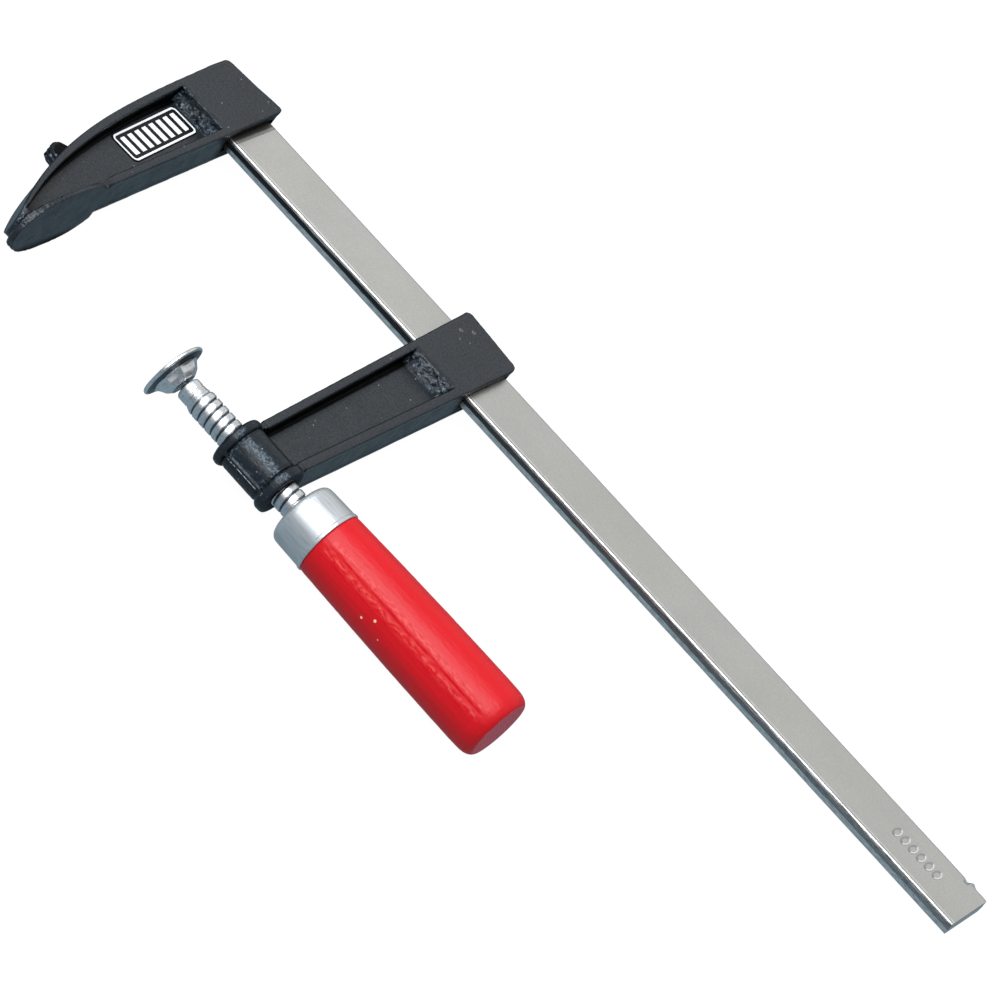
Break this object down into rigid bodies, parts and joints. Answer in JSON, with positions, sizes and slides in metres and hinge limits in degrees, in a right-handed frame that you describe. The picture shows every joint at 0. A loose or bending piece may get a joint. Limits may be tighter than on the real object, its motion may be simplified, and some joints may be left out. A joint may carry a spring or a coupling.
{
  "type": "f clamp",
  "caption": "Bar clamp with a flat steel bar, black cast jaws, a screw spindle with a swivel pressure pad and a red turned wooden handle.",
  "frame": {"origin": "on the fixed jaw's clamping face, where the spindle axis meets it", "axes": "+X along the spindle axis from the fixed jaw toward the pad, the handle and the free end of the bar; +Y from the spindle toward the bar; +Z out of the broad side that carries the label"},
  "size_m": [0.3762, 0.1543, 0.026],
  "materials": {
    "bar_steel": "drawn and satin nickel plated",
    "black_enamel": "semi-gloss black enamel over cast iron, slight orange peel",
    "label_print": "blank printed label, white rounded border",
    "zinc_plate": "bright zinc plate",
    "spring_steel": "plain spring wire",
    "red_lacquer": "turned beech, opaque red lacquer"
  },
  "bodies": {
    "frame": {"bar": "bar_steel", "fixed_jaw": "black_enamel", "jaw_label": "label_print"},
    "arm": {"sliding_arm": "black_enamel"},
    "spindle_carrier": {"pad_retaining_ring": "spring_steel"},
    "spindle": {"screw_spindle": "zinc_plate", "ferrule": "zinc_plate", "handle_grip": "red_lacquer"},
    "pad": {"swivel_pad": "zinc_plate"}
  },
  "joints": [
    {"name": "arm_slide", "type": "slide", "parent": "frame", "child": "arm", "axis": [1, 0, 0], "range_m": [-0.052, 0.221]},
    {"name": "screw_advance", "type": "slide", "parent": "arm", "child": "spindle_carrier", "axis": [1, 0, 0], "range_m": [-0.0065, 0.02]},
    {"name": "screw_turn", "type": "hinge", "parent": "spindle_carrier", "child": "spindle", "pos_m": [0.0659, 0, 0], "axis": [1, 0, 0], "range_deg": [-781, 2401]},
    {"name": "pad_tilt", "type": "hinge", "parent": "spindle_carrier", "child": "pad", "pos_m": [0.0659, 0, 0], "axis": [0, 1, 0], "range_deg": [-19, 9]}
  ],
  "couplings": [
    {"joint": "screw_turn", "follows": "screw_advance", "rad_per_m": 2094.4}
  ]
}
